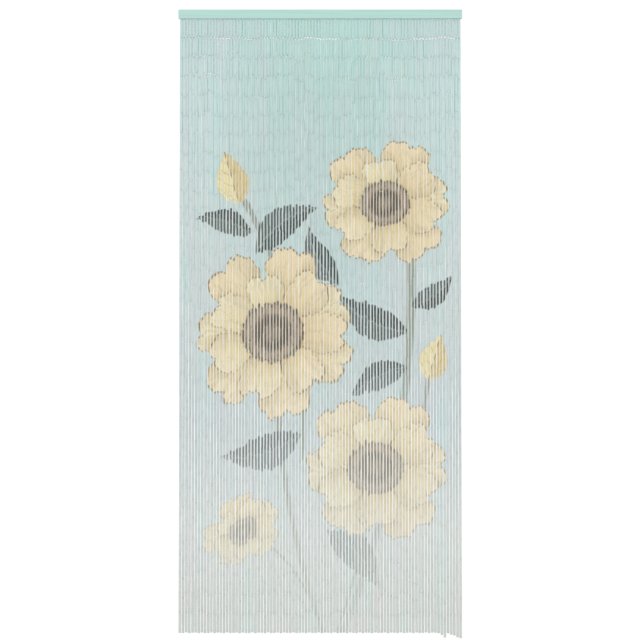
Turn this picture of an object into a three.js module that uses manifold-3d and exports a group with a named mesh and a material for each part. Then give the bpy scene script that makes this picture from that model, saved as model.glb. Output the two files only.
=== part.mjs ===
// Bamboo fly screen curtain: a painted header batten with strands of bamboo tubes hung under it.
// Millimetres, +Z up, +X to the right seen from the room, -Y towards the room.
// The origin is the centre of the batten's back face, which goes against the door frame.
import * as THREE from "three";
import { mergeVertices } from "three/addons/utils/BufferGeometryUtils.js";
import Module from "manifold-3d";

const wasm = await Module();
wasm.setup();

// Header batten, a planed strip of wood with eased edges
const BATTEN_WIDTH = 900;
const BATTEN_DEPTH = 12;
const BATTEN_HEIGHT = 29;
const BATTEN_EDGE_RADIUS = 1.5;
const BATTEN_END_BEVEL = 1.2;
const ARC_STEPS = 4;

// Strands, each a string of bamboo tubes that this solid shows as one square bar of the same girth
const STRAND_COUNT = 90;
const STRAND_SIDE = 7.2;
const TUBES_PER_STRAND = 32;
const TUBE_PITCH = 60.84;
const TUBES_PER_STEP = 4;
const PITCH_AT_ROOT = 9.9;
const PITCH_AT_HEM = 10.02;

// Backing strip that the roots of the strands are fused into, close under the batten
const SEAT_GAP = 0.3;
const STRIP_DEPTH = 4;
const STRIP_HEIGHT = 2.2;
const ROOT_OVERLAP = 1;

// Sway of a strand from its plumb line, and the uneven hem
const SWAY_SIDEWAYS = 0.3;
const SWAY_FORWARDS = 1.2;
const SWAY_TURN_PER_STRAND = 2.4;
const SWAY_TURN_PER_STEP = 1.3;
const HEM_UNEVENNESS = 1.5;
const LOW_DROPS_AT_RIGHT = [8, 14, 1, 7, 7, 15, 17];

// Places worked out from the sizes
const HANG_PLANE_Y = -BATTEN_DEPTH / 2;
const STRIP_TOP_Z = -BATTEN_HEIGHT / 2 - SEAT_GAP;
const ROOT_Z = STRIP_TOP_Z - STRIP_HEIGHT + ROOT_OVERLAP;
const STRAND_LENGTH = TUBES_PER_STRAND * TUBE_PITCH;
const STRAND_STEPS = TUBES_PER_STRAND / TUBES_PER_STEP;

// How far a strand hangs past the even hem line, down positive; the last ones on the right hang lower
function hemDrop(strand) {
  const uneven = HEM_UNEVENNESS * Math.sin(strand * SWAY_TURN_PER_STRAND);
  const firstLow = STRAND_COUNT - LOW_DROPS_AT_RIGHT.length;
  return strand < firstLow ? uneven : uneven + LOW_DROPS_AT_RIGHT[strand - firstLow];
}

// The strand's centre at a share of its length: 0 at the root, 1 at the hem
function strandCentre(strand, share) {
  const pitch = THREE.MathUtils.lerp(PITCH_AT_ROOT, PITCH_AT_HEM, share);
  const step = share * STRAND_STEPS;
  const turn = strand * SWAY_TURN_PER_STRAND + step * SWAY_TURN_PER_STEP;
  const freedom = Math.min(1, step);
  return new THREE.Vector3(
    (strand - (STRAND_COUNT - 1) / 2) * pitch + freedom * SWAY_SIDEWAYS * Math.sin(turn),
    HANG_PLANE_Y + freedom * SWAY_FORWARDS * Math.cos(turn),
    ROOT_Z - share * (ROOT_OVERLAP + STRAND_LENGTH + hemDrop(strand)),
  );
}

// One strand: a four-sided bar with a ring of corners at each step, moved onto the strand's centre line
function strandGeometry(strand) {
  const cornerRadius = STRAND_SIDE / Math.SQRT2;
  const bar = new THREE.CylinderGeometry(cornerRadius, cornerRadius, 1, 4, STRAND_STEPS);
  bar.rotateY(Math.PI / 4);
  bar.rotateX(Math.PI / 2);
  const corners = bar.getAttribute("position");
  for (let i = 0; i < corners.count; i++) {
    const share = 0.5 - corners.getZ(i);
    const centre = strandCentre(strand, share);
    corners.setXYZ(i, corners.getX(i) + centre.x, corners.getY(i) + centre.y, centre.z);
  }
  return bar;
}

// A closed geometry as a solid that can be joined
function toSolid(geometry) {
  geometry.deleteAttribute("normal");
  geometry.deleteAttribute("uv");
  const merged = mergeVertices(geometry, 1e-4);
  return new wasm.Manifold(
    new wasm.Mesh({
      numProp: 3,
      vertProperties: new Float32Array(merged.getAttribute("position").array),
      triVerts: new Uint32Array(merged.index.array),
    }),
  );
}

// A joined solid as a geometry again, with flat facets
function toGeometry(solid) {
  const mesh = solid.getMesh();
  const geometry = new THREE.BufferGeometry();
  geometry.setAttribute("position", new THREE.BufferAttribute(new Float32Array(mesh.vertProperties), 3));
  geometry.setIndex(new THREE.BufferAttribute(new Uint32Array(mesh.triVerts), 1));
  const faceted = geometry.toNonIndexed();
  faceted.computeVertexNormals();
  return faceted;
}

// The batten's section, depth across and height up, with rounded edges
function battenSection() {
  const halfDepth = BATTEN_DEPTH / 2 - BATTEN_EDGE_RADIUS;
  const halfHeight = BATTEN_HEIGHT / 2 - BATTEN_EDGE_RADIUS;
  const section = new THREE.Shape();
  section.absarc(halfDepth, halfHeight, BATTEN_EDGE_RADIUS, 0, Math.PI / 2, false);
  section.absarc(-halfDepth, halfHeight, BATTEN_EDGE_RADIUS, Math.PI / 2, Math.PI, false);
  section.absarc(-halfDepth, -halfHeight, BATTEN_EDGE_RADIUS, Math.PI, 1.5 * Math.PI, false);
  section.absarc(halfDepth, -halfHeight, BATTEN_EDGE_RADIUS, 1.5 * Math.PI, 2 * Math.PI, false);
  section.closePath();
  return section;
}

// The whole batten, centred on its length, with its back face on the plane of the origin
function battenGeometry() {
  const batten = new THREE.ExtrudeGeometry(battenSection(), {
    depth: BATTEN_WIDTH - 2 * BATTEN_END_BEVEL,
    steps: 1,
    curveSegments: ARC_STEPS,
    bevelEnabled: true,
    bevelThickness: BATTEN_END_BEVEL,
    bevelSize: BATTEN_END_BEVEL,
    bevelOffset: -BATTEN_END_BEVEL,
    bevelSegments: 2,
  });
  batten.translate(0, 0, -(BATTEN_WIDTH - 2 * BATTEN_END_BEVEL) / 2);
  batten.rotateY(Math.PI / 2);
  batten.rotateX(Math.PI / 2);
  return batten;
}

// The strip that every root is fused into
function stripGeometry() {
  const width = (STRAND_COUNT - 1) * PITCH_AT_ROOT + STRAND_SIDE;
  const strip = new THREE.BoxGeometry(width, STRIP_DEPTH, STRIP_HEIGHT);
  strip.translate(0, HANG_PLANE_Y, STRIP_TOP_Z - STRIP_HEIGHT / 2);
  return strip;
}

// The strip and all strands as one solid
function strandsGeometry() {
  const pieces = [toSolid(stripGeometry())];
  for (let strand = 0; strand < STRAND_COUNT; strand++) {
    pieces.push(toSolid(strandGeometry(strand)));
  }
  return toGeometry(wasm.Manifold.union(pieces));
}

const curtain = new THREE.Group();

const battenPaint = new THREE.MeshStandardMaterial({ color: "#b9ddd4", roughness: 0.6, metalness: 0 });
const batten = new THREE.Mesh(battenGeometry(), battenPaint);
batten.name = "header_batten";
batten.position.set(0, HANG_PLANE_Y, 0);
curtain.add(batten);

const tubePaint = new THREE.MeshStandardMaterial({ color: "#d3dcd6", roughness: 0.7, metalness: 0 });
const strands = new THREE.Mesh(strandsGeometry(), tubePaint);
strands.name = "bamboo_strands";
curtain.add(strands);

export default curtain;
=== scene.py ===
"""Bamboo fly screen curtain: strings of painted bamboo tubes that hang by wire loops from a wooden batten.

Sizes are in millimetres and are turned to metres where a mesh is made. The frame has +Z up, +X to the
right seen from the room and -Y towards the room, and its origin is the centre of the batten's back face.
"""

import logging
import math
from collections.abc import Callable
from dataclasses import dataclass, field
from enum import Enum
from functools import partial
from typing import Any

import bpy
import numpy as np
import numpy.typing as npt
from bpy.types import Material, Node, NodeSocket, NodeTree, Object
from mathutils import Euler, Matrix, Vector


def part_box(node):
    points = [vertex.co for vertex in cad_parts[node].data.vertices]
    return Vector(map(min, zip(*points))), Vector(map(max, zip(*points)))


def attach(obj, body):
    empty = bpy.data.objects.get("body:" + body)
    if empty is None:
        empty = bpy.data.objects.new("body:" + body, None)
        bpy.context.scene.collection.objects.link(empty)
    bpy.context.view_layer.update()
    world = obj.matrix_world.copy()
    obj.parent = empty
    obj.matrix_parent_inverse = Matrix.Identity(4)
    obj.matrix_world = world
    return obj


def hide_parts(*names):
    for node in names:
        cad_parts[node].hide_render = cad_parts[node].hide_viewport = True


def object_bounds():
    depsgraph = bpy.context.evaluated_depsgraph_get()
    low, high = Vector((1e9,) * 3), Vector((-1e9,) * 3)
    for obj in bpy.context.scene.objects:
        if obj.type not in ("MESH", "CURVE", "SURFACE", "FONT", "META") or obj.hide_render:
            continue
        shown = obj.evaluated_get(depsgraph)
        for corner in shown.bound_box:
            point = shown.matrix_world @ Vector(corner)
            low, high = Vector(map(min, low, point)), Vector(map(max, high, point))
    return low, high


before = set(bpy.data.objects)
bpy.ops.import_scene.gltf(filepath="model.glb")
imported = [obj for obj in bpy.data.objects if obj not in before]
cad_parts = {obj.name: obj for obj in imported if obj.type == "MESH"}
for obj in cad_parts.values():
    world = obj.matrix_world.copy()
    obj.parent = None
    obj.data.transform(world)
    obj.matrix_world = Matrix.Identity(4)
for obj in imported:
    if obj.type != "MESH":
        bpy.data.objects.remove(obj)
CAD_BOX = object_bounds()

MM = 0.001
BODY = "root"
SEED = 5

Array = npt.NDArray[np.float64]
Faces = npt.NDArray[np.int64]
Line = tuple[tuple[float, float], ...]
Stops = tuple[tuple[float, str], ...]
Feeds = dict[str | int, Any]
AddNode = Callable[..., Node]

log = logging.getLogger("curtain")


def linear(hex_colour: str) -> tuple[float, float, float, float]:
    """Turns an sRGB hex colour into linear red, green, blue and alpha.

    Args:
        hex_colour: A colour such as "#b9ddd4".

    Returns:
        The linear colour, with alpha 1.
    """
    channels = [int(hex_colour[i : i + 2], 16) / 255 for i in (1, 3, 5)]
    red, green, blue = (c / 12.92 if c <= 0.04045 else ((c + 0.055) / 1.055) ** 2.4 for c in channels)
    return red, green, blue, 1.0


def add_node(
    tree: NodeTree, kind: str, feeds: Feeds, stops: Stops = (), points: Line = (), **settings: Any
) -> Node:
    """Adds a node with its settings and feeds its inputs.

    Args:
        tree: The node tree that gets the node.
        kind: The node's type, without the "ShaderNode" that a shader node's type starts with.
        feeds: For each input, by name or by place among the inputs in use, a plain value, a socket, or a
            node whose first output in use is taken.
        stops: For a colour ramp, the place from 0 to 1 and the sRGB hex colour of each stop, in order.
        points: For a curve, its points from left to right, in 0 to 1.
        **settings: Properties of the node, set before its inputs are fed.

    Returns:
        The new node.
    """
    node = tree.nodes.new(kind if kind.startswith("NodeGroup") else f"ShaderNode{kind}")
    for name, value in settings.items():
        setattr(node, name, value)
    if stops:
        elements = node.color_ramp.elements
        while len(elements) < len(stops):
            elements.new(1.0)
        for element, (place, colour) in zip(elements, stops):
            element.position = place
            element.color = linear(colour)
    if points:
        handles = node.mapping.curves[0].points
        while len(handles) < len(points):
            handles.new(0.5, 0.5)
        for handle, place in zip(handles, points):
            handle.location = place
        node.mapping.update()
    for key, value in feeds.items():
        in_use = [socket for socket in node.inputs if socket.enabled]
        target = in_use[key] if isinstance(key, int) else next(s for s in in_use if s.name == key)
        if isinstance(value, Node):
            value = next(socket for socket in value.outputs if socket.enabled)
        if isinstance(value, NodeSocket):
            tree.links.new(value, target)
        else:
            target.default_value = value
    return node


def new_group(name: str, inputs: dict[str, str], outputs: dict[str, str]) -> tuple[NodeTree, AddNode, Any]:
    """Opens a shader node group, which is closed by adding its output node.

    Args:
        name: The group's name.
        inputs: The type of each input, by name: Float, Vector or Color.
        outputs: The type of each output, by name.

    Returns:
        The group's tree, the function that adds a node to it, and the sockets that give its inputs.
    """
    tree = bpy.data.node_groups.new(name, "ShaderNodeTree")
    for in_out, sockets in (("INPUT", inputs), ("OUTPUT", outputs)):
        for socket, kind in sockets.items():
            tree.interface.new_socket(name=socket, in_out=in_out, socket_type=f"NodeSocket{kind}")
    add = partial(add_node, tree)
    return tree, add, add("NodeGroupInput", {}).outputs


def new_material(name: str) -> tuple[Material, AddNode, NodeSocket]:
    """Opens a material, which is closed by adding its output node.

    Args:
        name: The material's name.

    Returns:
        The material, the function that adds a node to it, and the socket that gives the place in metres.
    """
    material = bpy.data.materials.new(name)
    material.use_nodes = True
    material.node_tree.nodes.clear()
    add = partial(add_node, material.node_tree)
    return material, add, add("TexCoord", {}).outputs["Object"]


class Motif(Enum):
    """What one long shape of the painted picture stands for."""

    STEM = "painted_stem"
    LEAF = "painted_leaf"
    BUD = "painted_bud"


@dataclass(frozen=True)
class BladeStyle:
    """How a long shape is painted, drawn along X from 0 to 1.

    Attributes:
        shade: The colour of its darker half.
        light: The colour of its lighter half.
        rib: The colour of its middle rib and side veins.
        veins: How many side veins it has.
        vein_strength: How strongly the side veins show, from 0 to 1.
        wraps: How far its paint reaches round the tubes' sides, from 0 to 1.
        outline: Half the shape's width at points along it, both as shares of its length.
    """

    shade: str
    light: str
    rib: str
    veins: int
    vein_strength: float
    wraps: float
    outline: Line


STEM_OUTLINE = ((0.0, 0.009), (0.5, 0.0105), (1.0, 0.013))
LEAF_OUTLINE = ((0.0, 0.0), (0.08, 0.07), (0.3, 0.19), (0.5, 0.2), (0.75, 0.12), (0.93, 0.03), (1.0, 0.0))
BUD_OUTLINE = ((0.0, 0.03), (0.12, 0.19), (0.35, 0.3), (0.6, 0.25), (0.85, 0.1), (1.0, 0.0))

BLADES = {
    Motif.STEM: BladeStyle("#56605a", "#747d70", "#8d9384", 0, 0.0, 0.1, STEM_OUTLINE),
    Motif.LEAF: BladeStyle("#353c3b", "#4f5755", "#858c82", 9, 0.45, 0.08, LEAF_OUTLINE),
    Motif.BUD: BladeStyle("#c2b083", "#dbd1a3", "#857760", 4, 0.4, 1.0, BUD_OUTLINE),
}


@dataclass(frozen=True)
class Blade:
    """One stem, leaf or bud of the picture.

    Attributes:
        motif: What it is.
        across: Where it starts, in mm from the curtain's middle, right positive.
        up: Where it starts, in mm from the batten's middle, so negative.
        length: Its length in mm.
        turn: The way it points, in degrees anticlockwise from the right.
        bend: How far it bows to its left, as a share of its length.
    """

    motif: Motif
    across: float
    up: float
    length: float
    turn: float
    bend: float


@dataclass(frozen=True)
class Bloom:
    """One open flower of the picture, seen a little from the side.

    Attributes:
        across: Its middle, in mm from the curtain's middle, right positive.
        up: Its middle, in mm from the batten's middle, so negative.
        radius: The reach of its longest petals in mm.
        turn: Its turn in degrees.
        squash: Its height as a share of its width.
        petals: How many petals each of its two whorls has.
    """

    across: float
    up: float
    radius: float
    turn: float
    squash: float
    petals: int


STEMS_AND_LEAVES = (
    Blade(Motif.STEM, 60, -1990, 1400, 81, -0.06),
    Blade(Motif.STEM, 20, -1990, 1000, 99, 0.05),
    Blade(Motif.STEM, 40, -1990, 560, 77, -0.04),
    Blade(Motif.STEM, -60, -1420, 880, 103, -0.08),
    Blade(Motif.STEM, 90, -1700, 620, 66, -0.1),
    Blade(Motif.STEM, 0, -1960, 440, 128, -0.12),
    Blade(Motif.LEAF, 20, -1640, 250, -48, 0.1),
    Blade(Motif.LEAF, -60, -1330, 270, 196, 0.1),
    Blade(Motif.LEAF, 282, -1010, 260, 152, 0.1),
    Blade(Motif.LEAF, 286, -930, 170, 38, -0.1),
    Blade(Motif.LEAF, 280, -1120, 210, 208, -0.1),
    Blade(Motif.LEAF, -205, -760, 250, 36, 0.12),
    Blade(Motif.LEAF, -215, -700, 190, 164, -0.1),
    Blade(Motif.LEAF, 60, -860, 210, 118, 0.1),
    Blade(Motif.BUD, -258, -600, 170, 106, 0.0),
    Blade(Motif.BUD, 342, -1160, 150, 74, 0.0),
)

BLOOMS = (
    Bloom(205, -600, 235, 8, 0.88, 6),
    Bloom(-150, -1010, 290, 24, 0.95, 7),
    Bloom(175, -1440, 262, 3, 0.92, 6),
    Bloom(-245, -1640, 150, 40, 0.72, 5),
)

# A painted shape's outputs: its colour on the tubes' crowns, a thinner one on their sides, and its cover
PAINT = {"Colour": "Color", "Base": "Color", "Cover": "Float"}


@dataclass(frozen=True)
class PicturePaint:
    """The sprayed flower picture: thin water-based colour, which gives the eye soft pastel shapes.

    Attributes:
        petal_stops: Petal colour from the heart outwards.
        flush: The warm colour that some petals have a touch of.
        warmth: How far it tints the warmest petal, from 0 to 1.
        fold: The colour in the folds and under the front petals.
        pale: The pale tone that the petals' colour thins out to on the tubes' sides.
        thinned: How far it thins out there, from 0 to 1.
        heart_stops: Colour of the heart from its middle to its rim.
        speck: The colour of the heart's specks.
        line: The colour of the drawn outlines.
        line_strength: How strongly they are drawn, from 0 to 1.
        edge: How soft a long shape's edge is, as a share of its length.
        split: How soft the line between its two halves is, as such a share.
        rib_reach: How far from its middle its rib ends and is full, as such shares.
        vein_reach: How far from its middle a side vein ends and is full, as shares of the way to the next.
        vein_slant: How far a side vein runs forwards for each step outwards.
        petal_outline: The petal's reach from the gap beside it to its middle line.
        shortest_petal: The shortest petal's reach as a share of the longest one's.
        front_reach: The front whorl's reach as a share of the back whorl's.
        petal_edge: How soft a petal's edge is, as a share of its reach.
        line_inset: How far inside a petal's edge its outline is drawn, as such a share.
        line_reach: How far from its middle an outline ends and is full, as such shares.
        shadow: How far the shade round a ring of petals reaches, as such a share, and its strength.
        streaks: How many streaks a petal has across, how many along, and how they differ between petals.
        ruffles: How many ruffles the petals' edges have to a flower radius.
        ruffle_depth: How deep the ruffles are, in flower radii.
        heart_radius: The heart's radius as a share of the flower's.
        heart_thinned: How strong the heart's colour still is on the tubes' sides, from 0 to 1.
        heart_breaks: How many breaks the heart's rings have to a flower radius.
        heart_ragged: How far the breaks move the rings, in heart radii.
        specks: How many specks the heart has to a flower radius.
    """

    petal_stops: Stops = ((0.3, "#b29f70"), (0.42, "#c8b88b"), (0.65, "#d7cca3"), (1.0, "#ddd4b3"))
    flush: str = "#f5d2b4"
    warmth: float = 0.3
    fold: str = "#ac9b74"
    pale: str = "#f0ead6"
    thinned: float = 0.35
    heart_stops: Stops = (
        (0.0, "#8b8071"),
        (0.25, "#6f665b"),
        (0.42, "#48423c"),
        (0.58, "#5f574d"),
        (0.7, "#97897a"),
        (0.88, "#8b7e6e"),
        (0.96, "#544b43"),
    )
    speck: str = "#3c3732"
    line: str = "#65543c"
    line_strength: float = 0.9
    edge: float = 0.006
    split: float = 0.01
    rib_reach: tuple[float, float] = (0.011, 0.005)
    vein_reach: tuple[float, float] = (0.1, 0.02)
    vein_slant: float = 1.3
    petal_outline: Line = ((0.0, 0.5), (0.1, 0.74), (0.35, 0.93), (0.68, 1.0), (0.86, 0.985), (1.0, 0.93))
    shortest_petal: float = 0.84
    front_reach: float = 0.82
    petal_edge: float = 0.008
    line_inset: float = 0.012
    line_reach: tuple[float, float] = (0.016, 0.006)
    shadow: tuple[float, float] = (0.16, 0.6)
    streaks: tuple[float, float, float] = (26.0, 1.6, 9.0)
    ruffles: float = 4.5
    ruffle_depth: float = 0.16
    heart_radius: float = 0.34
    heart_thinned: float = 0.25
    heart_breaks: float = 24.0
    heart_ragged: float = 0.16
    specks: float = 22.0

    def blade_group(self, motif: Motif) -> NodeTree:
        """Builds the group that paints one kind of long shape.

        Args:
            motif: The kind.

        Returns:
            A group from Place and Bend to Colour, Base and Cover.
        """
        style = BLADES[motif]
        tree, add, given = new_group(motif.value, {"Place": "Vector", "Bend": "Float"}, PAINT)
        place = add("SeparateXYZ", {0: given["Place"]}).outputs
        along, across = place["X"], place["Y"]
        # The middle line is a parabola that is as high as the bend at its top
        rest = add("Math", {0: 1.0, 1: along}, operation="SUBTRACT")
        bow = add("Math", {0: along, 1: rest}, operation="MULTIPLY")
        bow = add("Math", {0: bow, 1: given["Bend"]}, operation="MULTIPLY")
        lean = add("Math", {0: bow, 1: -4.0, 2: across}, operation="MULTIPLY_ADD")
        aside = add("Math", {0: lean}, operation="ABSOLUTE")
        half = add("FloatCurve", {"Value": along}, points=style.outline)
        inset = add("Math", {0: half, 1: aside}, operation="SUBTRACT")
        cover = add("MapRange", {"Value": inset, "From Max": self.edge})
        span = add("Math", {0: along, 1: 0.5, 2: 0.5}, operation="COMPARE")
        cover = add("Math", {0: cover, 1: span}, operation="MULTIPLY")
        split = add("MapRange", {"Value": lean, "From Min": -self.split, "From Max": self.split})
        feeds = {"Factor": split, "A": linear(style.shade), "B": linear(style.light)}
        colour = add("Mix", feeds, data_type="RGBA")
        slant = add("Math", {0: aside, 1: -self.vein_slant, 2: along}, operation="MULTIPLY_ADD")
        wave = add("Math", {0: slant, 1: style.veins}, operation="MULTIPLY")
        wave = add("Math", {0: wave, 1: 0.5}, operation="PINGPONG")
        ends, full = self.vein_reach
        feeds = {"Value": wave, "From Min": ends, "From Max": full, "To Max": style.vein_strength}
        vein = add("MapRange", feeds)
        ends, full = self.rib_reach
        rib = add("MapRange", {"Value": aside, "From Min": ends, "From Max": full})
        drawn = add("Math", {0: vein, 1: rib}, operation="MAXIMUM")
        colour = add("Mix", {"Factor": drawn, "A": colour, "B": linear(style.rib)}, data_type="RGBA")
        add("NodeGroupOutput", {"Colour": colour, "Base": linear(style.light), "Cover": cover})
        return tree

    def whorl_group(self) -> NodeTree:
        """Builds the group that lays out one ring of petals.

        Returns:
            A group that gives Cover, Along from heart to tip, Line where an outline is drawn, Chance, a
            number of its own for each petal, Outside, the way past its edge, and Fold, its soft shading.
        """
        inputs = {"Place": "Vector", "Petals": "Float", "Turn": "Float", "Reach": "Float"}
        outputs = dict.fromkeys(("Cover", "Along", "Line", "Chance", "Outside", "Fold"), "Float")
        tree, add, given = new_group("painted_whorl", inputs, outputs)
        place = add("SeparateXYZ", {0: given["Place"]}).outputs
        angle = add("Math", {0: place["Y"], 1: place["X"]}, operation="ARCTAN2")
        turns = add("Math", {0: given["Petals"], 1: 0.5 / math.pi}, operation="MULTIPLY")
        sector = add("Math", {0: angle, 1: turns, 2: given["Turn"]}, operation="MULTIPLY_ADD")
        number = add("Math", {0: sector}, operation="FLOOR")
        number = add("Math", {0: number, 1: given["Petals"]}, operation="FLOORED_MODULO")
        number = add("Math", {0: number, 1: given["Reach"]}, operation="ADD")
        chance = add("TexWhiteNoise", {"W": number}, noise_dimensions="1D").outputs["Value"]
        inset = add("Math", {0: sector, 1: 0.5}, operation="PINGPONG")
        middle = add("Math", {0: inset, 1: 2.0}, operation="MULTIPLY")
        limit = add("FloatCurve", {"Value": middle}, points=self.petal_outline)
        radius = add("VectorMath", {0: given["Place"]}, operation="LENGTH")
        reach = add("MapRange", {"Value": chance, "To Min": self.shortest_petal, "To Max": 1.0})
        reach = add("Math", {0: reach, 1: given["Reach"]}, operation="MULTIPLY")
        along = add("Math", {0: radius, 1: reach}, operation="DIVIDE")
        outside = add("Math", {0: along, 1: limit}, operation="SUBTRACT")
        feeds = {"Value": outside, "From Min": self.petal_edge, "From Max": -self.petal_edge}
        cover = add("MapRange", feeds)
        rim = add("Math", {0: outside, 1: self.line_inset}, operation="ADD")
        rim = add("Math", {0: rim}, operation="ABSOLUTE")
        gap = add("Math", {0: inset, 1: radius}, operation="MULTIPLY")
        nearest = add("Math", {0: rim, 1: gap}, operation="MINIMUM")
        ends, full = self.line_reach
        line = add("MapRange", {"Value": nearest, "From Min": ends, "From Max": full})
        # Soft folds run out from the heart, and one side of each petal is shaded
        streak = add("CombineXYZ", {"X": inset, "Y": along, "Z": chance})
        streak = add("Mapping", {"Vector": streak, "Scale": self.streaks})
        streak = add("TexNoise", {"Vector": streak, "Scale": 1.0, "Detail": 1.0})
        fold = add("MapRange", {"Value": streak, "From Min": 0.5, "From Max": 0.75, "To Max": 0.4})
        side = add("Math", {0: sector}, operation="FRACT")
        side = add("MapRange", {"Value": side, "From Max": 0.4, "To Min": 0.5, "To Max": 0.0})
        fold = add("Math", {0: fold, 1: side}, operation="ADD")
        feeds = {"Cover": cover, "Along": along, "Line": line, "Chance": chance, "Outside": outside}
        add("NodeGroupOutput", {**feeds, "Fold": fold})
        return tree

    def bloom_group(self) -> NodeTree:
        """Builds the group that paints one open flower.

        Returns:
            A group from Place, in flower radii, and Petals to Colour, Base and Cover.
        """
        tree, add, given = new_group("painted_bloom", {"Place": "Vector", "Petals": "Float"}, PAINT)
        place = given["Place"]
        depth = (self.ruffle_depth, self.ruffle_depth, 0.0)
        ruffle = add("TexNoise", {"Vector": place, "Scale": self.ruffles, "Detail": 2.0}).outputs["Color"]
        shift = add("VectorMath", {0: ruffle, 1: (0.5, 0.5, 0.5)}, operation="SUBTRACT")
        ruffled = add("VectorMath", {0: shift, 1: depth, 2: place}, operation="MULTIPLY_ADD")
        whorl = self.whorl_group()
        fold = linear(self.fold)
        colour, base, cover = fold, fold, 0.0
        for turn, reach in ((0.5, 1.0), (0.0, self.front_reach)):
            feeds = {"Place": ruffled, "Petals": given["Petals"], "Turn": turn, "Reach": reach}
            ring = add("Group", feeds, node_tree=whorl).outputs
            paint = add("ValToRGB", {0: ring["Along"]}, stops=self.petal_stops)
            warm = add("MapRange", {"Value": ring["Chance"], "To Max": self.warmth})
            feeds = {"Factor": warm, "A": paint, "B": linear(self.flush)}
            paint = add("Mix", feeds, data_type="RGBA", blend_type="MULTIPLY")
            paint = add("Mix", {"Factor": ring["Fold"], "A": paint, "B": fold}, data_type="RGBA")
            inked = add("Math", {0: ring["Line"], 1: self.line_strength}, operation="MULTIPLY")
            inked = add("Mix", {"Factor": inked, "A": paint, "B": linear(self.line)}, data_type="RGBA")
            # The petals of this ring shade what lies just outside them
            far, dark = self.shadow
            feeds = {"Value": ring["Outside"], "From Min": far, "From Max": 0.0, "To Max": dark}
            shadow = add("MapRange", feeds)
            colour = add("Mix", {"Factor": shadow, "A": colour, "B": fold}, data_type="RGBA")
            colour = add("Mix", {"Factor": ring["Cover"], "A": colour, "B": inked}, data_type="RGBA")
            base = add("Mix", {"Factor": ring["Cover"], "A": base, "B": paint}, data_type="RGBA")
            cover = add("Math", {0: cover, 1: ring["Cover"]}, operation="MAXIMUM")
        heart, within = self.heart(add, place)
        colour = add("Mix", {"Factor": within, "A": colour, "B": heart}, data_type="RGBA")
        base = add("Mix", {"Factor": self.thinned, "A": base, "B": linear(self.pale)}, data_type="RGBA")
        beside = add("Math", {0: within, 1: self.heart_thinned}, operation="MULTIPLY")
        base = add("Mix", {"Factor": beside, "A": base, "B": heart}, data_type="RGBA")
        add("NodeGroupOutput", {"Colour": colour, "Base": base, "Cover": cover})
        return tree

    def heart(self, add: AddNode, place: NodeSocket) -> tuple[Node, Node]:
        """Adds a flower's heart: broken rings with specks.

        Args:
            add: The function that adds a node to the flower's group.
            place: The socket with the place in flower radii.

        Returns:
            The nodes that give its colour and where it lies.
        """
        ragged = self.heart_ragged
        radius = add("VectorMath", {0: place}, operation="LENGTH")
        broken = add("TexNoise", {"Vector": place, "Scale": self.heart_breaks, "Detail": 2.0})
        broken = add("MapRange", {"Value": broken, "To Min": -ragged, "To Max": ragged})
        out = add("Math", {0: radius, 1: 1 / self.heart_radius, 2: broken}, operation="MULTIPLY_ADD")
        heart = add("ValToRGB", {0: out}, stops=self.heart_stops)
        specks = add("TexVoronoi", {"Vector": place, "Scale": self.specks})
        specks = add("MapRange", {"Value": specks, "From Min": 0.3, "From Max": 0.15, "To Max": 0.6})
        heart = add("Mix", {"Factor": specks, "A": heart, "B": linear(self.speck)}, data_type="RGBA")
        return heart, add("MapRange", {"Value": out, "From Min": 1.03, "From Max": 0.99})

    def picture_group(self) -> NodeTree:
        """Builds the group that paints the whole picture.

        Returns:
            A group from Place, across and up in metres, to the Colour and Cover of the paint on the tubes'
            crowns and the Base and Wrap of the thinner paint that reaches round their sides.
        """
        tree, add, given = new_group("painted_picture", {"Place": "Vector"}, {**PAINT, "Wrap": "Float"})
        blades = {motif: self.blade_group(motif) for motif in Motif}
        bloom_group = self.bloom_group()
        layers: list[tuple[NodeTree, Feeds, float, tuple[float, ...]]] = []
        for blade in STEMS_AND_LEAVES:
            spot = (blade.across, blade.up, blade.turn, blade.length, blade.length)
            layers.append((blades[blade.motif], {"Bend": blade.bend}, BLADES[blade.motif].wraps, spot))
        for bloom in BLOOMS:
            spot = (bloom.across, bloom.up, bloom.turn, bloom.radius, bloom.radius * bloom.squash)
            layers.append((bloom_group, {"Petals": bloom.petals}, 1.0, spot))
        colour: Any = linear(self.line)
        base: Any = linear(self.line)
        cover: Any = 0.0
        wrap: Any = 0.0
        for group, own, wraps, (across, up, turn, wide, high) in layers:
            feeds = {
                "Vector": given["Place"],
                "Location": (across * MM, up * MM, 0.0),
                "Rotation": (0.0, 0.0, math.radians(turn)),
                "Scale": (wide * MM, high * MM, 1.0),
            }
            local = add("Mapping", feeds, vector_type="TEXTURE")
            layer = add("Group", {"Place": local, **own}, node_tree=group).outputs
            shown = layer["Cover"]
            around = add("Math", {0: shown, 1: wraps}, operation="MULTIPLY")
            colour = add("Mix", {"Factor": shown, "A": colour, "B": layer["Colour"]}, data_type="RGBA")
            base = add("Mix", {"Factor": shown, "A": base, "B": layer["Base"]}, data_type="RGBA")
            cover = add("Math", {0: cover, 1: shown}, operation="MAXIMUM")
            wrap = add("Math", {0: wrap, 1: around}, operation="MAXIMUM")
        add("NodeGroupOutput", {"Colour": colour, "Base": base, "Cover": cover, "Wrap": wrap})
        return tree


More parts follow.
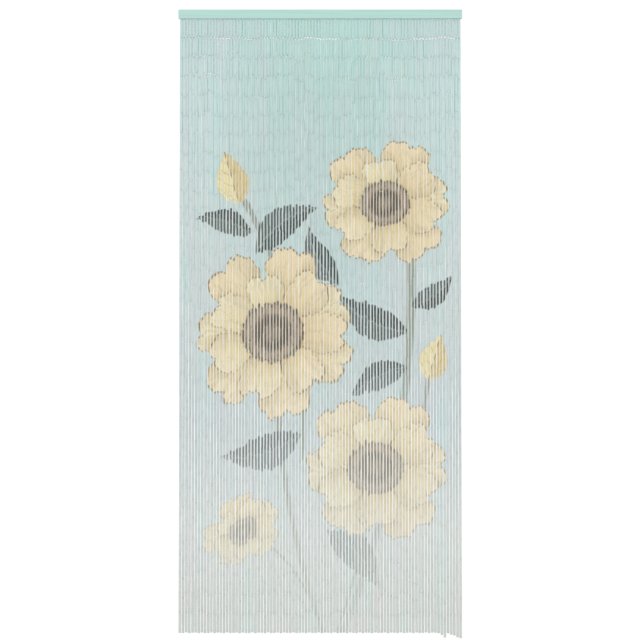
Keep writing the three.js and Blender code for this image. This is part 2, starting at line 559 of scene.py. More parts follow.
@dataclass(frozen=True)
class PaintedBamboo:
    """Bamboo tube sprayed with matt water-based paint: soft pastel colour over faint lengthwise fibres.

    Attributes:
        side_stops: Ground colour near the curtain's two sides, from the batten down.
        middle_stops: Ground colour down its middle, where the spray is stronger.
        ground_drop: How far down the ground's colours run, in mm.
        middle_reach: How far from the middle its colours end and are full, in mm.
        patch: Width and height of the soft patches in the ground, in mm.
        fibre_width: Width of a fibre in mm, drawn about twice as coarse as real to show.
        fibre_length: Length of a fibre in mm.
        crown: How far a tube's face looks to the front, from 0 to 1, where the picture ends and where it is
            full.
        sides: The same for the thinner paint that reaches round the tubes' sides.
        ragged: How far the fibres make those ends ragged.
        fading: How far down the picture is thinnest and full, in mm.
        faded: How strong it still is where it is thinnest, from 0 to 1.
        thin_sides_and_painted_light: How far the tubes' sides are paled to the bare colour, from 0 to 1:
            partly thinner paint
        there, partly painted light that lifts the shade between neighbouring tubes.
        bare: The colour of bare bamboo under a first white coat, which the tubes' sides are paled to,
            partly as
        painted light.
        roughness: The roughness of the paint in the fibres' hollows and on their tops.
        relief: How strongly the fibres' relief shows, and how deep it is in mm.
        picture: The picture painted over the ground.
    """

    side_stops: Stops = (
        (0.02, "#b3cbca"),
        (0.12, "#bad0ce"),
        (0.47, "#bfcbca"),
        (0.66, "#b9c4c5"),
        (0.83, "#c6cdca"),
        (0.96, "#c1c6c2"),
    )
    middle_stops: Stops = (
        (0.02, "#accdc7"),
        (0.12, "#acc9c4"),
        (0.47, "#b6c7c6"),
        (0.66, "#b7c4c4"),
        (0.83, "#c4ccca"),
        (0.96, "#c3c7c3"),
    )
    ground_drop: float = 1960.0
    middle_reach: tuple[float, float] = (420.0, 80.0)
    patch: tuple[float, float] = (70.0, 350.0)
    fibre_width: float = 0.7
    fibre_length: float = 22.0
    crown: tuple[float, float] = (0.72, 0.9)
    sides: tuple[float, float] = (0.05, 0.35)
    ragged: float = 0.12
    fading: tuple[float, float] = (1800.0, 1050.0)
    faded: float = 0.3
    thin_sides_and_painted_light: float = 0.35
    bare: str = "#e6e7e0"
    roughness: tuple[float, float] = (0.56, 0.7)
    relief: tuple[float, float] = (0.35, 0.15)
    picture: PicturePaint = field(default_factory=PicturePaint)

    def make(self) -> Material:
        """Builds the material of the tubes' outsides.

        Returns:
            The material.
        """
        material, add, place = new_material("matt_painted_bamboo")
        printed, tint, facing = (
            add("Attribute", {}, attribute_name=name, attribute_type="GEOMETRY").outputs[output]
            for name, output in (("print_place", "Vector"), ("tube_tint", "Vector"), ("tube_facing", "Fac"))
        )
        ground = self.ground(add, printed, tint)
        # The tubes' sides are paled to the bare colour: partly thinner paint there, partly painted light
        # that lifts the shade between neighbouring tubes
        feeds = {"Value": facing, "From Min": 0.6, "From Max": 0.0, "To Max": self.thin_sides_and_painted_light}
        thin = add("MapRange", feeds)
        colour = add("Mix", {"Factor": thin, "A": ground, "B": linear(self.bare)}, data_type="RGBA")
        fibre = (1 / (self.fibre_width * MM), 1 / (self.fibre_width * MM), 1 / (self.fibre_length * MM))
        fibres = add("Mapping", {"Vector": place, "Scale": fibre})
        fibres = add("TexNoise", {"Vector": fibres, "Scale": 1.0, "Detail": 2.0})
        picture = add("Group", {"Place": printed}, node_tree=self.picture.picture_group()).outputs
        ragged = add("Math", {0: fibres, 1: self.ragged, 2: facing}, operation="MULTIPLY_ADD")
        up = add("SeparateXYZ", {0: printed}).outputs["Y"]
        thinnest, full = (-drop * MM for drop in self.fading)
        feeds = {"Value": up, "From Min": thinnest, "From Max": full, "To Min": self.faded, "To Max": 1.0}
        kept = add("MapRange", feeds)
        for (low, high), part, paint in ((self.sides, "Wrap", "Base"), (self.crown, "Cover", "Colour")):
            feeds = {"Value": ragged, "From Min": low, "From Max": high}
            share = add("MapRange", feeds, interpolation_type="SMOOTHSTEP")
            share = add("Math", {0: share, 1: picture[part]}, operation="MULTIPLY")
            share = add("Math", {0: share, 1: kept}, operation="MULTIPLY")
            colour = add("Mix", {"Factor": share, "A": colour, "B": picture[paint]}, data_type="RGBA")
        smooth, rough = self.roughness
        roughness = add("MapRange", {"Value": fibres, "To Min": smooth, "To Max": rough})
        strength, depth = self.relief
        relief = add("Bump", {"Strength": strength, "Distance": depth * MM, "Height": fibres})
        feeds = {"Base Color": colour, "Roughness": roughness, "IOR": 1.5, "Normal": relief}
        add("OutputMaterial", {"Surface": add("BsdfPrincipled", feeds)})
        return material

    def ground(self, add: AddNode, printed: NodeSocket, tint: NodeSocket) -> Node:
        """Adds the ground colour, which runs from aqua to pale grey and varies from tube to tube.

        Args:
            add: The function that adds a node to the material.
            printed: The socket with the place across and up, in metres.
            tint: The socket with three numbers from 0 to 1: two of each tube's own, and its strand's.

        Returns:
            The node that gives the colour.
        """
        place = add("SeparateXYZ", {0: printed}).outputs
        down = add("MapRange", {"Value": place["Y"], "From Min": 0.0, "From Max": -self.ground_drop * MM})
        at_side = add("ValToRGB", {0: down}, stops=self.side_stops)
        at_middle = add("ValToRGB", {0: down}, stops=self.middle_stops)
        aside = add("Math", {0: place["X"]}, operation="ABSOLUTE")
        ends, full = (reach * MM for reach in self.middle_reach)
        feeds = {"Value": aside, "From Min": ends, "From Max": full}
        middle = add("MapRange", feeds, interpolation_type="SMOOTHSTEP")
        ground = add("Mix", {"Factor": middle, "A": at_side, "B": at_middle}, data_type="RGBA")
        own = add("SeparateXYZ", {0: tint}).outputs
        # A tube's own tint fades below the upper rows
        feeds = {"Value": down, "From Min": 0.0, "From Max": 0.3, "To Min": 1.0, "To Max": 0.15}
        upper = add("MapRange", feeds)
        wide, high = self.patch
        drift = add("Mapping", {"Vector": printed, "Scale": (1 / (wide * MM), 1 / (high * MM), 1.0)})
        drift = add("TexNoise", {"Vector": drift, "Scale": 1.0, "Detail": 1.0}).outputs["Color"]
        drift = add("SeparateXYZ", {0: drift}).outputs
        # Each tint's source, where it begins and is full, its colour, its strength, and whether that fades
        for source, begins, full, colour, most, fades in (
            (own["X"], 0.75, 1.0, "#c2bab6", 0.06, True),
            (own["Y"], 0.8, 1.0, "#8fd2c0", 0.1, True),
            (own["Z"], 0.7, 1.0, "#a9dccb", 0.05, False),
            (own["Z"], 0.3, 0.0, "#c2bcbc", 0.05, False),
            (drift["X"], 0.5, 0.75, "#a4d6d2", 0.22, False),
            (drift["Y"], 0.5, 0.75, "#c3bfc8", 0.22, False),
        ):
            feeds = {"Value": source, "From Min": begins, "From Max": full, "To Max": most}
            share = add("MapRange", feeds)
            if fades:
                share = add("Math", {0: share, 1: upper}, operation="MULTIPLY")
            ground = add("Mix", {"Factor": share, "A": ground, "B": linear(colour)}, data_type="RGBA")
        return ground


@dataclass(frozen=True)
class SawnBamboo:
    """Bamboo sawn and bored, under a thin white first coat: near white with faint tan fibre ends.

    Attributes:
        light: The colour of the wood between the fibre ends, kept near white partly as painted light that
            lifts
        the shade in the joints and bores.
        dark: The colour of the fibre ends.
        grain: Distance between fibre ends in mm.
        roughness: The surface's roughness.
        relief: How strongly the fibre ends' relief shows, and how deep it is in mm.
    """

    light: str = "#f3f3ec"
    dark: str = "#e0dccb"
    grain: float = 0.5
    roughness: float = 0.75
    relief: tuple[float, float] = (0.3, 0.1)

    def make(self) -> Material:
        """Builds the material of the cut ends and the bores.

        Returns:
            The material.
        """
        material, add, place = new_material("sawn_bamboo")
        dots = add("TexVoronoi", {"Vector": place, "Scale": 1 / (self.grain * MM)})
        share = add("MapRange", {"Value": dots, "From Min": 0.15, "From Max": 0.5})
        # The near-white colours are partly painted light that lifts the shade in the joints and bores
        feeds = {"Factor": share, "A": linear(self.dark), "B": linear(self.light)}
        colour = add("Mix", feeds, data_type="RGBA")
        strength, depth = self.relief
        relief = add("Bump", {"Strength": strength, "Distance": depth * MM, "Height": dots})
        feeds = {"Base Color": colour, "Roughness": self.roughness, "IOR": 1.5, "Normal": relief}
        add("OutputMaterial", {"Surface": add("BsdfPrincipled", feeds)})
        return material


@dataclass(frozen=True)
class PaintedPine:
    """Planed pine brushed with matt paint: an even aqua face with faint lengthwise grain.

    Attributes:
        paint: The paint's colour.
        shade: The paint's colour where it lies thin in the grain.
        grain_width: Distance between grain lines in mm.
        grain_length: Length of a grain line in mm.
        roughness: The surface's roughness.
        relief: How strongly the grain's relief shows, and how deep it is in mm.
    """

    paint: str = "#aacdc5"
    shade: str = "#a2c6bd"
    grain_width: float = 2.2
    grain_length: float = 160.0
    roughness: float = 0.5
    relief: tuple[float, float] = (0.25, 0.2)

    def make(self) -> Material:
        """Builds the material of the batten.

        Returns:
            The material.
        """
        material, add, place = new_material("matt_painted_pine")
        grain = (1 / (self.grain_length * MM), 1 / (self.grain_width * MM), 1 / (self.grain_width * MM))
        lines = add("Mapping", {"Vector": place, "Scale": grain})
        lines = add("TexNoise", {"Vector": lines, "Scale": 1.0, "Detail": 4.0})
        share = add("MapRange", {"Value": lines, "From Min": 0.35, "From Max": 0.65})
        feeds = {"Factor": share, "A": linear(self.shade), "B": linear(self.paint)}
        colour = add("Mix", feeds, data_type="RGBA")
        strength, depth = self.relief
        relief = add("Bump", {"Strength": strength, "Distance": depth * MM, "Height": lines})
        feeds = {"Base Color": colour, "Roughness": self.roughness, "IOR": 1.5, "Normal": relief}
        add("OutputMaterial", {"Surface": add("BsdfPrincipled", feeds)})
        return material


@dataclass(frozen=True)
class GalvanisedWire:
    """Thin drawn steel wire with a zinc coat: a dull grey glint in the gaps between the tubes.

    Attributes:
        colour: The zinc's colour.
        spangle: Size of the zinc's dull and bright spots in mm.
        roughness: The roughness of the bright and the dull spots.
    """

    colour: str = "#b4b6b4"
    spangle: float = 1.5
    roughness: tuple[float, float] = (0.32, 0.57)

    def make(self) -> Material:
        """Builds the material of the wire loops.

        Returns:
            The material.
        """
        material, add, place = new_material("galvanised_steel_wire")
        spots = add("TexNoise", {"Vector": place, "Scale": 1 / (self.spangle * MM), "Detail": 1.0})
        bright, dull = self.roughness
        roughness = add("MapRange", {"Value": spots, "To Min": bright, "To Max": dull})
        feeds = {"Base Color": linear(self.colour), "Metallic": 1.0, "Roughness": roughness}
        add("OutputMaterial", {"Surface": add("BsdfPrincipled", feeds)})
        return material


@dataclass(frozen=True)
class StudioFloor:
    """Matt white studio floor.

    Attributes:
        colour: The floor's colour.
        fleck: Size of its faint flecks in mm.
        roughness: The least and the most roughness of its flecks.
    """

    colour: str = "#fbfbfa"
    fleck: float = 40.0
    roughness: tuple[float, float] = (0.8, 0.95)

    def make(self) -> Material:
        """Builds the floor's material.

        Returns:
            The material.
        """
        material, add, place = new_material("studio_floor")
        flecks = add("TexNoise", {"Vector": place, "Scale": 1 / (self.fleck * MM)})
        least, most = self.roughness
        roughness = add("MapRange", {"Value": flecks, "To Min": least, "To Max": most})
        feeds = {"Base Color": linear(self.colour), "Roughness": roughness}
        add("OutputMaterial", {"Surface": add("BsdfPrincipled", feeds)})
        return material


def mesh_piece(name: str, points: Array, quads: Faces, smooth: bool) -> Object:
    """Makes an object from points and four-sided faces.

    Args:
        name: The object's name.
        points: The points in metres, three numbers each, in any shape.
        quads: The four points of each face, anticlockwise from outside, in any shape.
        smooth: Whether the faces are shaded smooth.

    Returns:
        The new object, linked to the scene.
    """
    mesh = bpy.data.meshes.new(name)
    mesh.vertices.add(points.size // 3)
    mesh.vertices.foreach_set("co", points.astype(np.float32).ravel())
    mesh.loops.add(quads.size)
    mesh.loops.foreach_set("vertex_index", quads.astype(np.int32).ravel())
    mesh.polygons.add(quads.size // 4)
    mesh.polygons.foreach_set("loop_start", np.arange(0, quads.size, 4, dtype=np.int32))
    mesh.polygons.foreach_set("use_smooth", np.full(quads.size // 4, smooth))
    mesh.update(calc_edges=True)
    mesh.validate()
    piece = bpy.data.objects.new(name, mesh)
    bpy.context.scene.collection.objects.link(piece)
    return piece


def ring_quads(copies: int, rings: int, sides: int) -> Faces:
    """Lists the faces between rings of points that close on themselves both ways.

    Args:
        copies: How many like bodies the points hold, one after another.
        rings: How many rings each body has, the last joined to the first.
        sides: How many points each ring has.

    Returns:
        The four point numbers of each face, shaped copies, rings, sides, 4.
    """
    low = np.arange(rings)[:, None] * sides
    high = np.roll(low, -1, axis=0)
    side = np.arange(sides)
    after = np.roll(side, -1)
    one = np.stack([low + side, low + after, high + after, high + side], axis=-1)
    return one[None] + (np.arange(copies) * rings * sides)[:, None, None, None]


@dataclass(frozen=True)
class StrandHang:
    """How the strands hang, in mm: as in the solid that they replace, but with less sway sideways.

    Attributes:
        strands: How many strands hang side by side.
        tubes: How many tubes each strand has.
        pitch: Distance from tube to tube down a strand.
        root_pitch: Distance from strand to strand at the batten.
        hem_pitch: Distance from strand to strand at the hem.
        root_gap: Distance from the batten to the first tube.
        steps: How many steps the sway of a strand has.
        sway_sideways: How far a strand sways sideways from plumb.
        sway_forwards: How far it sways to the front and back.
        turn_per_strand: How the sway changes from strand to strand, in radians.
        turn_per_step: How it changes from step to step, in radians.
        hem_unevenness: How far the strands end above and below the hem line.
        low_drops: How far the last strands on the right hang below the others.
    """

    strands: int = 90
    tubes: int = 32
    pitch: float = 60.84
    root_pitch: float = 9.9
    hem_pitch: float = 10.02
    root_gap: float = 1.4
    steps: int = 8
    sway_sideways: float = 0.08
    sway_forwards: float = 1.2
    turn_per_strand: float = 2.4
    turn_per_step: float = 1.3
    hem_unevenness: float = 1.5
    low_drops: tuple[float, ...] = (8.0, 14.0, 1.0, 7.0, 7.0, 15.0, 17.0)

    def hem_drops(self) -> Array:
        """Works out how far each strand hangs past the even hem line.

        Returns:
            The drops in mm, down positive.
        """
        drops = self.hem_unevenness * np.sin(np.arange(self.strands) * self.turn_per_strand)
        drops[-len(self.low_drops) :] += self.low_drops
        return drops

    def centres(self, share: Array) -> tuple[Array, Array]:
        """Finds where the strands' centre lines run.

        Args:
            share: The shares of a strand's length, one row for each strand.

        Returns:
            The places across and, from the hanging plane, forwards and back, in mm.
        """
        strand = np.arange(self.strands)[:, None]
        step = share * self.steps
        turn = strand * self.turn_per_strand + step * self.turn_per_step
        freedom = np.minimum(1, step)
        pitch = self.root_pitch + (self.hem_pitch - self.root_pitch) * share
        across = (strand - (self.strands - 1) / 2) * pitch
        across = across + freedom * self.sway_sideways * np.sin(turn)
        return across, freedom * self.sway_forwards * np.cos(turn)


@dataclass(frozen=True)
class WideGaps:
    """How much wider than the others one row's gaps are, alike in neighbouring strands.

    Attributes:
        most: How much wider the widest is, in mm.
        mean: What they stray from, as a share of that.
        spread: How far they stray, as such a share.
        least: How much wider the narrowest is, as such a share.
    """

    most: float
    mean: float = 0.0
    spread: float = 0.6
    least: float = 0.0


@dataclass
class BambooStrings:
    """Ninety strings of hollow bamboo tubes, each on a wire loop that hooks into the next.

    Attributes:
        hang: How the strands hang.
        girth: The tubes' mean outer radius in mm, by the share of the way down.
        radius_spread: How far a tube's radius strays from the mean.
        radius_limit: The most that it strays.
        taper: How much thicker one end of a tube is than the other, as a share.
        oval: How far a tube is from round at most, as a share.
        bore_share: The bore's radius as a share of the outer radius.
        edge: The rubbed edge at a tube's ends in mm.
        sides: How many sides a tube has round it.
        gap: The least gap between one tube and the next in mm.
        gap_spread: How much wider a gap mostly is.
        gap_limit: The widest gap.
        top_gaps: How much wider the gaps are under each of the first rows.
        wave_width: How many strands side by side have like gaps and lengths in the first rows.
        length_spread: How far a tube's length strays, past the first row.
        closing_tubes: How many tubes at the hem make up for what the others strayed.
        first_length_spread: How far a tube's length strays in the first row, which hangs almost level.
        first_length_wave: How far the first row's lengths rise and fall along the batten.
        kink: How far a joint strays sideways in mm.
        kink_limit: The most that it strays.
        root_kink: The share of that by which a strand's root strays.
        bow: How far a tube's middle strays from straight in mm.
        clearance: The least distance between neighbouring strands in mm.
        twist: How far a tube has turned on its own line since it was painted, in degrees.
        strand_slip: How far a strand's picture has slipped up or down in mm.
        tube_slip: How far a tube has slipped besides, in mm.
        bundle: How many strands one piece holds.
        wire: The wire's radius in mm.
        loop: The radius of a wire loop's turn in mm.
        hook: How far a loop's tip passes the middle of a gap in mm.
        staple: How deep the top loops are driven into the batten in mm.
        eye: How far the lowest loops show under the hem in mm.
        rng: What draws the chance sizes, alike in each run.
    """

    hang: StrandHang = field(default_factory=StrandHang)
    girth: Line = ((0.0, 4.67), (0.032, 4.61), (0.3, 4.56), (0.52, 4.46), (0.66, 4.1), (1.0, 4.1))
    radius_spread: float = 0.035
    radius_limit: float = 0.25
    taper: float = 0.02
    oval: float = 0.05
    bore_share: float = 0.6
    edge: float = 0.22
    sides: int = 12
    gap: float = 0.12
    gap_spread: float = 0.18
    gap_limit: float = 3.4
    top_gaps: tuple[WideGaps, ...] = (
        WideGaps(2.5, mean=0.8, spread=0.3, least=0.4),
        WideGaps(2.0),
        WideGaps(1.7),
        WideGaps(1.1),
        WideGaps(0.6),
        WideGaps(0.3),
    )
    wave_width: int = 5
    length_spread: float = 4.4
    closing_tubes: int = 4
    first_length_spread: float = 0.5
    first_length_wave: float = 2.2
    kink: float = 0.06
    kink_limit: float = 0.3
    root_kink: float = 0.3
    bow: float = 0.12
    clearance: float = 0.1
    twist: float = 9.0
    strand_slip: float = 2.5
    tube_slip: float = 1.0
    bundle: int = 9
    wire: float = 0.3
    loop: float = 1.0
    hook: float = 0.32
    staple: float = 5.0
    eye: float = 0.5
    rng: np.random.Generator = field(default_factory=lambda: np.random.default_rng(SEED))

    def __post_init__(self) -> None:
        """Draws the tubes' sizes and hangs the joints."""
        strands, tubes = self.hang.strands, self.hang.tubes
        batten_low, batten_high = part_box("header_batten")
        self.batten_under = batten_low.z / MM
        self.plane = (batten_low.y + batten_high.y) / 2 / MM
        mean = np.interp(np.arange(tubes) / (tubes - 1), *np.array(self.girth).T)
        stray = self.rng.normal(0, self.radius_spread, (strands, tubes))
        self.radii = mean + stray.clip(-self.radius_limit, self.radius_limit)
        wider = self.rng.exponential(self.gap_spread, (strands, tubes + 1))
        for row, wide in enumerate(self.top_gaps, 1):
            share = wide.mean + wide.spread * self.slow_wave()
            wider[:, row] += wide.most * share.clip(wide.least, 1)
        self.gaps = (self.gap + wider).clip(max=self.gap_limit)
        self.gaps[:, 0] = self.hang.root_gap
        self.joints = self.hang_joints()
        self.part_neighbours()

    def slow_wave(self) -> Array:
        """Draws a number for each strand, alike in neighbours, that strays from 0 by 1 in the mean."""
        raw = self.rng.normal(0, 1, self.hang.strands + self.wave_width - 1)
        return np.convolve(raw, np.ones(self.wave_width) / math.sqrt(self.wave_width), "valid")

    def hang_joints(self) -> Array:
        """Places the middle of each gap, from the one under the batten to the bare ends at the hem.

        Returns:
            The joints in mm, shaped strands, tubes + 1, 3.
        """
        hang = self.hang
        lengths = self.rng.normal(0, self.length_spread, (hang.strands, hang.tubes))
        lengths[:, 0] = self.rng.normal(0, self.first_length_spread, hang.strands)
        lengths[:, 0] += self.first_length_wave * self.slow_wave()
        lengths += hang.pitch
        drop = hang.root_gap / 2 + hang.tubes * hang.pitch + hang.hem_drops()
        short = (drop - lengths.sum(1)) / self.closing_tubes
        lengths[:, -self.closing_tubes :] += short[:, None]
        down = np.concatenate([np.zeros((hang.strands, 1)), np.cumsum(lengths, 1)], 1)
        across, forwards = hang.centres(down / down[:, -1:])
        stray = self.rng.normal(0, self.kink, (2, *down.shape)).clip(-self.kink_limit, self.kink_limit)
        stray[:, :, 0] *= self.root_kink
        up = self.batten_under - hang.root_gap / 2 - down
        return np.stack([across + stray[0], self.plane + forwards + stray[1], up], -1)

    def part_neighbours(self, rounds: int = 30) -> None:
        """Moves joints sideways until no strand touches the next.

        Args:
            rounds: How many times the strands are gone through.
        """
        ends = np.concatenate([self.radii, self.radii[:, -1:]], 1)
        reach = np.maximum(ends, np.concatenate([self.radii[:, :1], self.radii], 1))
        for _ in range(rounds):
            for left in range(self.hang.strands - 1):
                for here, there, way in ((left, left + 1, -1), (left + 1, left, 1)):
                    height = -self.joints[there, :, 2]
                    beside = np.interp(-self.joints[here, :, 2], height, self.joints[there, :, 0])
                    girth = np.interp(-self.joints[here, :, 2], height, reach[there])
                    apart = np.abs(beside - self.joints[here, :, 0])
                    short = np.maximum(0, reach[here] + girth + self.clearance - apart)
                    self.joints[here, :, 0] += way * short / 2

    def rightwards(self, axis: Array) -> Array:
        """Finds the unit vectors to the right, square to the given ones up along the tubes or loops."""
        right = np.array([1.0, 0.0, 0.0]) - axis * axis[..., :1]
        return right / np.linalg.norm(right, axis=-1, keepdims=True)

    def tube_frames(self, strands: slice) -> tuple[Array, Array, Array]:
        """Finds where tubes begin and which way they run.

        Args:
            strands: The strands asked for.

        Returns:
            The tubes' lower ends, their lengths, and the unit vectors up along them, shaped strands, tubes
            and the rest.
        """
        joints, gaps = self.joints[strands], self.gaps[strands]
        span = joints[:, :-1] - joints[:, 1:]
        length = np.linalg.norm(span, axis=-1, keepdims=True)
        axis = span / length
        below = gaps[:, 1:, None] / 2
        below[:, -1] = 0
        above = gaps[:, :-1, None] / 2
        return joints[:, 1:] + axis * below, length - below - above, axis

    def build_tubes(self, number: int) -> Object:
        """Builds the tubes of one bundle of strands.

        Each tube is eight rings of points: the bore's lower end, the sawn end's rubbed edge, the wall with
        two rings between its ends that the bow moves, the upper edge, and the bore's upper end.

        Args:
            number: The bundle's number, from the left.

        Returns:
            The piece, with its attributes and its map for baking.
        """
        strands = slice(number * self.bundle, (number + 1) * self.bundle)
        start, length, axis = self.tube_frames(strands)
        right = self.rightwards(axis)
        front = np.cross(axis, right)
        shape = length.shape[:2]
        zero = np.zeros_like(length)
        heights = (zero, zero, self.edge, length / 3, length * 2 / 3, length - self.edge, length, length)
        along = np.concatenate([zero + height for height in heights], -1)
        taper = 1 + self.rng.normal(0, self.taper, (*shape, 1)) * (along / length - 0.5)
        outer = self.radii[strands][..., None]
        bore, rubbed = outer * self.bore_share, outer - self.edge
        girth = np.concatenate([bore, rubbed, outer, outer, outer, outer, rubbed, bore], -1) * taper
        bowed = np.array([0, 0, 0, 1, 1, 0, 0, 0])
        roll = self.rng.uniform(0, 2 * math.pi, (*shape, 1))
        angle = roll + np.arange(self.sides) * 2 * math.pi / self.sides
        oval = 1 + self.rng.uniform(0, self.oval, (*shape, 1)) * np.cos(2 * angle - roll)
        bow = self.rng.normal(0, self.bow, (*shape, 2)) * MM
        outward = np.cos(angle)[..., None] * right[:, :, None]
        outward = outward + np.sin(angle)[..., None] * front[:, :, None]
        points = start[:, :, None, None] + along[..., None, None] * axis[:, :, None, None]
        points = points + (girth[..., None] * oval[:, :, None])[..., None] * outward[:, :, None]
        points = points * MM
        points[..., :2] += bow[:, :, None, None] * bowed[:, None, None]
        copies, rings = shape[0] * shape[1], along.shape[-1]
        quads = ring_quads(copies, rings, self.sides)
        piece = mesh_piece(f"bamboo_tubes_{number + 1:02d}", points, quads, True)
        self.mark_faces(piece, copies, rings)
        self.mark_points(piece, points, angle)
        self.lay_out_map(piece, copies, along / length)
        return piece

    def mark_faces(self, piece: Object, copies: int, rings: int) -> None:
        """Sets which faces are sawn and bored, and keeps the sawn ends flat.

        Args:
            piece: The bundle's piece.
            copies: How many tubes it has.
            rings: How many rings of points each tube has.
        """
        sawn = np.zeros((copies, rings, self.sides), bool)
        sawn[:, (0, rings - 2)] = True
        bare = sawn.copy()
        bare[:, rings - 1] = True
        piece.data.polygons.foreach_set("material_index", bare.astype(np.int32).ravel())
        piece.data.polygons.foreach_set("use_smooth", ~sawn.ravel())
        piece.data.update()

    def mark_points(self, piece: Object, points: Array, angle: Array) -> None:
        """Stores where each point was painted, how far it faces the front, and each tube's own tint.

        Args:
            piece: The bundle's piece.
            points: Its points in metres, shaped strands, tubes, rings, sides, 3.
            angle: The angle of each side round its tube, shaped strands, tubes, sides.
        """
        shape = points.shape[:4]
        slipped = self.rng.normal(0, self.strand_slip * MM, (shape[0], 1, 1, 1))
        nudged = self.rng.normal(0, self.tube_slip * MM, (shape[0], shape[1], 1, 1))
        place = np.zeros((*shape, 3))
        place[..., 0] = points[..., 0]
        place[..., 1] = points[..., 2] + slipped + nudged
        twist = np.radians(self.rng.normal(0, self.twist, (*shape[:2], 1)))
        facing = np.broadcast_to(-np.sin(angle - twist)[:, :, None], shape)
        tint = self.rng.uniform(0, 1, (*shape[:2], 1, 1, 3))
        tint[..., 2] = tint[:, :1, ..., 2]
        tint = np.broadcast_to(tint, (*shape, 3))
        for name, kind, part, data in (
            ("print_place", "FLOAT_VECTOR", "vector", place),
            ("tube_tint", "FLOAT_VECTOR", "vector", tint),
            ("tube_facing", "FLOAT", "value", facing),
        ):
            values = piece.data.attributes.new(name, kind, "POINT").data
            values.foreach_set(part, data.astype(np.float32).ravel())

    def lay_out_map(self, piece: Object, copies: int, heights: Array) -> None:
        """Lays the tubes' faces out on a map, a cell for each tube, for baking.

        Args:
            piece: The bundle's piece.
            copies: How many tubes it has.
            heights: How far up its tube each ring lies, from 0 to 1, shaped strands, tubes, rings.
        """
        # A cell is 2.4 times as tall as wide, with the wall at its left, then the bore, then both sawn ends
        margin, wall, strip = 0.04, 0.74, 0.1
        bore_left, ends_left = wall + 0.04, wall + 0.16
        columns = math.ceil(math.sqrt(copies * 2.4))
        rows = math.ceil(copies / columns)
        rings = heights.shape[-1]
        low = heights.reshape(copies, rings)[..., None]
        side = np.arange(self.sides)
        u = np.empty((copies, rings, self.sides, 4))
        v = np.empty_like(u)
        u[..., 0] = u[..., 3] = side / self.sides
        u[..., 1] = u[..., 2] = (side + 1) / self.sides
        v[..., 0] = v[..., 1] = low
        v[..., 2] = v[..., 3] = np.roll(low, -1, axis=1)
        u[:, 1 : rings - 2] *= wall
        for ring, left, bottom, top in (
            (rings - 1, bore_left, 1.0, 0.0),
            (0, ends_left, 0.0, 0.46),
            (rings - 2, ends_left, 0.54, 1.0),
        ):
            u[:, ring] = left + u[:, ring] * strip
            v[:, ring, :, :2] = bottom
            v[:, ring, :, 2:] = top
        cell = np.arange(copies)[:, None, None, None]
        u = (cell % columns + margin + u * (1 - 2 * margin)) / columns
        v = (cell // columns + margin + v * (1 - 2 * margin)) / rows
        layer = piece.data.uv_layers.new(name="OFBake")
        layer.uv.foreach_set("vector", np.stack([u, v], -1).astype(np.float32).ravel())

    def build_loops(self, number: int) -> Object:
        """Builds the wire loops of one bundle: one through each tube and one driven into the batten.

        Args:
            number: The bundle's number, from the left.

        Returns:
            The piece.
        """
        lows = self.joints[number * self.bundle : (number + 1) * self.bundle]
        driven = lows[:, :1] + np.array([0.0, 0.0, self.staple])
        tops = np.concatenate([driven, lows[:, :-1]], 1)
        axis = tops - lows
        axis /= np.linalg.norm(axis, axis=-1, keepdims=True)
        lows = lows - axis * (self.hook - self.loop)
        lows[:, -1] -= axis[:, -1] * self.eye
        tops = tops + axis * (self.hook - self.loop)
        # Every second loop is turned square to the one above it, as hooked links are
        right = self.rightwards(axis)
        forwards = (np.arange(tops.shape[1]) % 2 == 1)[None, :, None]
        wide = np.where(forwards, np.cross(axis, right), right)
        across = np.cross(axis, wide)
        turns = np.radians([0, 45, 90, 135, 180, 180, 225, 270, 315, 360])
        middles = np.repeat(np.stack([tops, lows], 2), len(turns) // 2, axis=2)
        outward = np.cos(turns)[:, None] * wide[:, :, None] + np.sin(turns)[:, None] * axis[:, :, None]
        path = middles + outward * self.loop
        corners = np.radians([45, 135, 225, 315])
        section = np.cos(corners)[:, None] * outward[..., None, :]
        section = section + np.sin(corners)[:, None] * across[:, :, None, None]
        points = (path[..., None, :] + section * self.wire) * MM
        quads = ring_quads(tops.shape[0] * tops.shape[1], len(turns), len(corners))
        return mesh_piece(f"wire_loops_{number + 1:02d}", points, quads, True)

    def dress(self, painted: Material, sawn: Material, wire: Material) -> None:
        """Builds all bundles, dresses them and ties them to the frame.

        Args:
            painted: The material of the tubes' outsides.
            sawn: The material of their ends and bores.
            wire: The material of the loops.
        """
        for number in range(self.hang.strands // self.bundle):
            tubes, loops = self.build_tubes(number), self.build_loops(number)
            for piece, slot, finishes in (
                (tubes, "painted_bamboo", (painted, sawn)),
                (loops, "link_wire", (wire,)),
            ):
                for finish in finishes:
                    piece.data.materials.append(finish)
                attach(piece, BODY)
                log.info("%s: %d faces", piece.name, len(piece.data.polygons))
            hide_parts("bamboo_strands")


@dataclass(frozen=True)
class HeaderBatten:
    """The painted batten, whose solid keeps its shape and gets its finish here.

    Attributes:
        node: The solid's name.
    """

    node: str = "header_batten"

    def dress(self, painted: Material) -> None:
        """Gives the batten its finish.

        Args:
            painted: The material of the painted wood.
        """
        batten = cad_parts[self.node]
        batten.data.materials.clear()
        batten.data.materials.append(painted)
        log.info("%s: dressed", batten.name)


@dataclass(frozen=True)
class SoftLight:
    """A square soft light that looks at the curtain's middle.

    Attributes:
        name: Its name.
        place: Its place in metres.
        side: Its side in metres.
        power: Its power in watts.
    """

    name: str
    place: tuple[float, float, float]
    side: float
    power: float


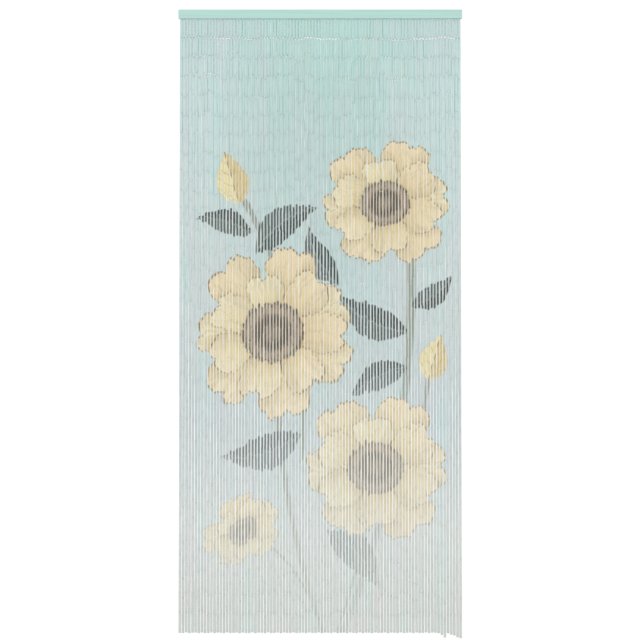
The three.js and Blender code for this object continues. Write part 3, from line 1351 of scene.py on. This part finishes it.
@dataclass(frozen=True)
class Studio:
    """A white room with soft light and a long lens straight in front.

    Attributes:
        lens: The lens in mm.
        distance: The camera's distance from the curtain in metres.
        across: The camera's place from the curtain's middle in metres.
        height: The camera's height from the batten's middle in metres.
        far_clip: How far the camera sees in metres.
        floor_drop: How far the floor lies under the lowest strand in metres.
        floor_side: The floor's side in metres.
        sky: The strength of the white room's own light.
        lights: The large light from the front left and the weaker one from the right.
    """

    lens: float = 85.0
    distance: float = 4.803
    across: float = -0.0008
    height: float = -0.9702
    far_clip: float = 50.0
    floor_drop: float = 1.2
    floor_side: float = 16.0
    sky: float = 1.05
    lights: tuple[SoftLight, ...] = (
        SoftLight("key_light", (-1.3, -3.6, 0.9), 2.4, 20.0),
        SoftLight("fill_light", (2.2, -3.2, -0.8), 2.0, 6.0),
    )

    def build(self, floor_paint: Material) -> None:
        """Sets up the camera, the floor and the light.

        Args:
            floor_paint: The floor's material.
        """
        scene = bpy.context.scene
        scene.view_settings.view_transform = "Standard"
        camera = bpy.data.cameras.new("camera")
        camera.lens = self.lens
        camera.clip_end = self.far_clip
        eye = bpy.data.objects.new("camera", camera)
        eye.location = (self.across, -self.distance, self.height)
        eye.rotation_euler = Euler((math.radians(90), 0, 0))
        scene.collection.objects.link(eye)
        scene.camera = eye
        corners = np.array([[-0.5, -0.5, 0.0], [0.5, -0.5, 0.0], [0.5, 0.5, 0.0], [-0.5, 0.5, 0.0]])
        corners = corners * self.floor_side + np.array([0.0, 0.0, CAD_BOX[0][2] - self.floor_drop])
        floor = mesh_piece("studio_floor", corners, np.arange(4), False)
        floor.data.materials.append(floor_paint)
        world = bpy.data.worlds.new("white_room")
        world.use_nodes = True
        room = world.node_tree.nodes["Background"].inputs
        room["Color"].default_value = (1.0, 1.0, 1.0, 1.0)
        room["Strength"].default_value = self.sky
        scene.world = world
        for light in self.lights:
            self.hang_light(light)

    def hang_light(self, light: SoftLight) -> None:
        """Hangs a light and aims it.

        Args:
            light: The light.
        """
        area = bpy.data.lights.new(light.name, "AREA")
        area.size = light.side
        area.energy = light.power
        lamp = bpy.data.objects.new(light.name, area)
        lamp.location = light.place
        aim = Vector((0.0, 0.0, self.height)) - lamp.location
        lamp.rotation_euler = aim.to_track_quat("-Z", "Y").to_euler()
        bpy.context.scene.collection.objects.link(lamp)


def main() -> None:
    """Builds the studio, the batten and the strings in order."""
    logging.basicConfig(level=logging.INFO, format="%(name)s: %(message)s")
    Studio().build(StudioFloor().make())
    HeaderBatten().dress(PaintedPine().make())
    BambooStrings().dress(PaintedBamboo().make(), SawnBamboo().make(), GalvanisedWire().make())


if __name__ == "__main__":
    main()
